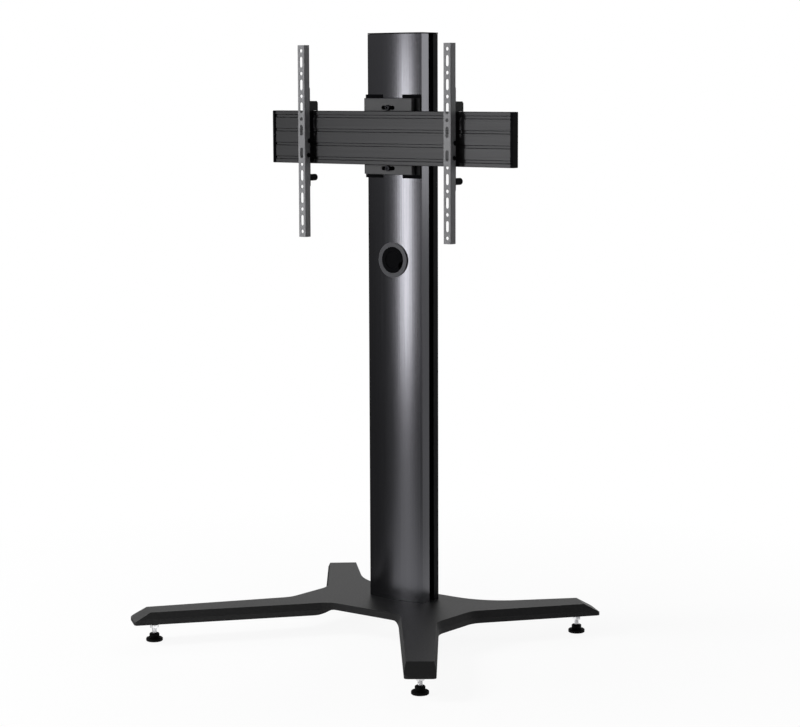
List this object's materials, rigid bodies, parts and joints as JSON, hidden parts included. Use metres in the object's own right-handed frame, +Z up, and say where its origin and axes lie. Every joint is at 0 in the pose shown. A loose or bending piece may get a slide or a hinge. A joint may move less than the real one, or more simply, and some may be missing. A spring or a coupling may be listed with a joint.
{
  "type": "freestanding tv stand",
  "caption": "Freestanding screen stand: a legged base on levelling feet, an extruded column with a cable grommet, and a rail with slotted arms that slide and tilt.",
  "frame": {"origin": "on the floor, below the middle of the base's plan", "axes": "+Z up along the column, +X to the right as seen from the front, +Y to the back; the screen side is -Y"},
  "size_m": [0.8382, 0.731, 1.3278],
  "materials": {
    "base_coat": "black powder coat, fine texture",
    "column_anodised": "dark grey anodised, satin",
    "black_plastic": "black, matte",
    "ring_plastic": "grey, satin",
    "rail_anodised": "dark grey anodised, matte",
    "bracket_coat": "grey powder coat",
    "arm_coat": "grey powder coat",
    "hook_coat": "black powder coat",
    "zinc_steel": "zinc plated",
    "black_screw": "black oxide steel",
    "pad_rubber": "black, matte"
  },
  "bodies": {
    "stand": {"base_frame": "base_coat", "column_anchor_plate": "zinc_steel", "column_profile": "column_anodised", "rear_cover": "black_plastic", "top_cap": "black_plastic", "grommet_ring": "ring_plastic", "column_screw_1": "black_screw", "column_screw_2": "black_screw", "column_screw_3": "black_screw", "column_screw_4": "black_screw", "foot_lock_nut_front_left": "black_screw", "foot_lock_nut_rear_left": "black_screw", "foot_lock_nut_front_right": "black_screw", "foot_lock_nut_rear_right": "black_screw"},
    "bracket": {"mount_plate": "hook_coat", "rail_profile": "rail_anodised", "rail_end_cap_left": "black_plastic", "rail_end_cap_right": "black_plastic", "clamp_jaw_left": "bracket_coat", "saddle_pad_left": "black_plastic", "jaw_screw_left_lower": "black_screw", "jaw_screw_left_upper": "black_screw", "clamp_jaw_right": "bracket_coat", "saddle_pad_right": "black_plastic", "jaw_screw_right_lower": "black_screw", "jaw_screw_right_upper": "black_screw", "rail_claw_top": "bracket_coat", "rail_claw_bolt_top": "black_screw", "rail_claw_bottom": "bracket_coat", "rail_claw_bolt_bottom": "black_screw"},
    "grommet_lid": {"grommet_cap": "black_plastic"},
    "foot_front_left": {"foot_pad_front_left": "pad_rubber"},
    "stud_front_left": {"foot_stud_front_left": "zinc_steel"},
    "foot_rear_left": {"foot_pad_rear_left": "pad_rubber"},
    "stud_rear_left": {"foot_stud_rear_left": "zinc_steel"},
    "foot_front_right": {"foot_pad_front_right": "pad_rubber"},
    "stud_front_right": {"foot_stud_front_right": "zinc_steel"},
    "foot_rear_right": {"foot_pad_rear_right": "pad_rubber"},
    "stud_rear_right": {"foot_stud_rear_right": "zinc_steel"},
    "carriage_left": {"hook_bracket_left": "hook_coat"},
    "arm_left": {"arm_channel_left": "arm_coat", "pivot_bolt_left": "black_screw", "pivot_nut_left": "black_screw", "tilt_bolt_left": "black_screw", "tilt_nut_left": "black_screw"},
    "lock_left": {"lock_slider_left": "black_plastic"},
    "carriage_right": {"hook_bracket_right": "hook_coat"},
    "arm_right": {"arm_channel_right": "arm_coat", "pivot_bolt_right": "black_screw", "pivot_nut_right": "black_screw", "tilt_bolt_right": "black_screw", "tilt_nut_right": "black_screw"},
    "lock_right": {"lock_slider_right": "black_plastic"}
  },
  "joints": [
    {"name": "bracket_height", "type": "slide", "parent": "stand", "child": "bracket", "axis": [0, 0, 1], "range_m": [-0.13, 0.13]},
    {"name": "grommet_turn", "type": "hinge", "parent": "stand", "child": "grommet_lid", "pos_m": [0, 0.08, 0.833], "axis": [0, 1, 0], "continuous": true},
    {"name": "foot_travel_front_left", "type": "slide", "parent": "stand", "child": "foot_front_left", "axis": [0, 0, 1], "range_m": [-0.009, 0.01]},
    {"name": "foot_turn_front_left", "type": "hinge", "parent": "foot_front_left", "child": "stud_front_left", "pos_m": [-0.367, -0.3106, 0.0095], "axis": [0, 0, 1], "range_deg": [-2190, 2430]},
    {"name": "foot_travel_rear_left", "type": "slide", "parent": "stand", "child": "foot_rear_left", "axis": [0, 0, 1], "range_m": [-0.009, 0.01]},
    {"name": "foot_turn_rear_left", "type": "hinge", "parent": "foot_rear_left", "child": "stud_rear_left", "pos_m": [-0.335, 0.312, 0.0095], "axis": [0, 0, 1], "range_deg": [-2190, 2430]},
    {"name": "foot_travel_front_right", "type": "slide", "parent": "stand", "child": "foot_front_right", "axis": [0, 0, 1], "range_m": [-0.009, 0.01]},
    {"name": "foot_turn_front_right", "type": "hinge", "parent": "foot_front_right", "child": "stud_front_right", "pos_m": [0.367, -0.3106, 0.0095], "axis": [0, 0, 1], "range_deg": [-2190, 2430]},
    {"name": "foot_travel_rear_right", "type": "slide", "parent": "stand", "child": "foot_rear_right", "axis": [0, 0, 1], "range_m": [-0.009, 0.01]},
    {"name": "foot_turn_rear_right", "type": "hinge", "parent": "foot_rear_right", "child": "stud_rear_right", "pos_m": [0.335, 0.312, 0.0095], "axis": [0, 0, 1], "range_deg": [-2190, 2430]},
    {"name": "arm_left_slide", "type": "slide", "parent": "bracket", "child": "carriage_left", "axis": [1, 0, 0], "range_m": [-0.088, 0.125]},
    {"name": "arm_left_tilt", "type": "hinge", "parent": "carriage_left", "child": "arm_left", "pos_m": [-0.217, 0.0407, 1.06], "axis": [1, 0, 0], "range_deg": [0, 10]},
    {"name": "lock_left_slide", "type": "slide", "parent": "carriage_left", "child": "lock_left", "axis": [0, 0, 1], "range_m": [0, 0.0235]},
    {"name": "arm_right_slide", "type": "slide", "parent": "bracket", "child": "carriage_right", "axis": [1, 0, 0], "range_m": [-0.095, 0.125]},
    {"name": "arm_right_tilt", "type": "hinge", "parent": "carriage_right", "child": "arm_right", "pos_m": [0.185, 0.0407, 1.06], "axis": [1, 0, 0], "range_deg": [0, 10]},
    {"name": "lock_right_slide", "type": "slide", "parent": "carriage_right", "child": "lock_right", "axis": [0, 0, 1], "range_m": [0, 0.0235]}
  ],
  "couplings": [
    {"joint": "foot_turn_front_left", "follows": "foot_travel_front_left", "rad_per_m": 4188.8},
    {"joint": "foot_turn_rear_left", "follows": "foot_travel_rear_left", "rad_per_m": 4188.8},
    {"joint": "foot_turn_front_right", "follows": "foot_travel_front_right", "rad_per_m": 4188.8},
    {"joint": "foot_turn_rear_right", "follows": "foot_travel_rear_right", "rad_per_m": 4188.8}
  ]
}
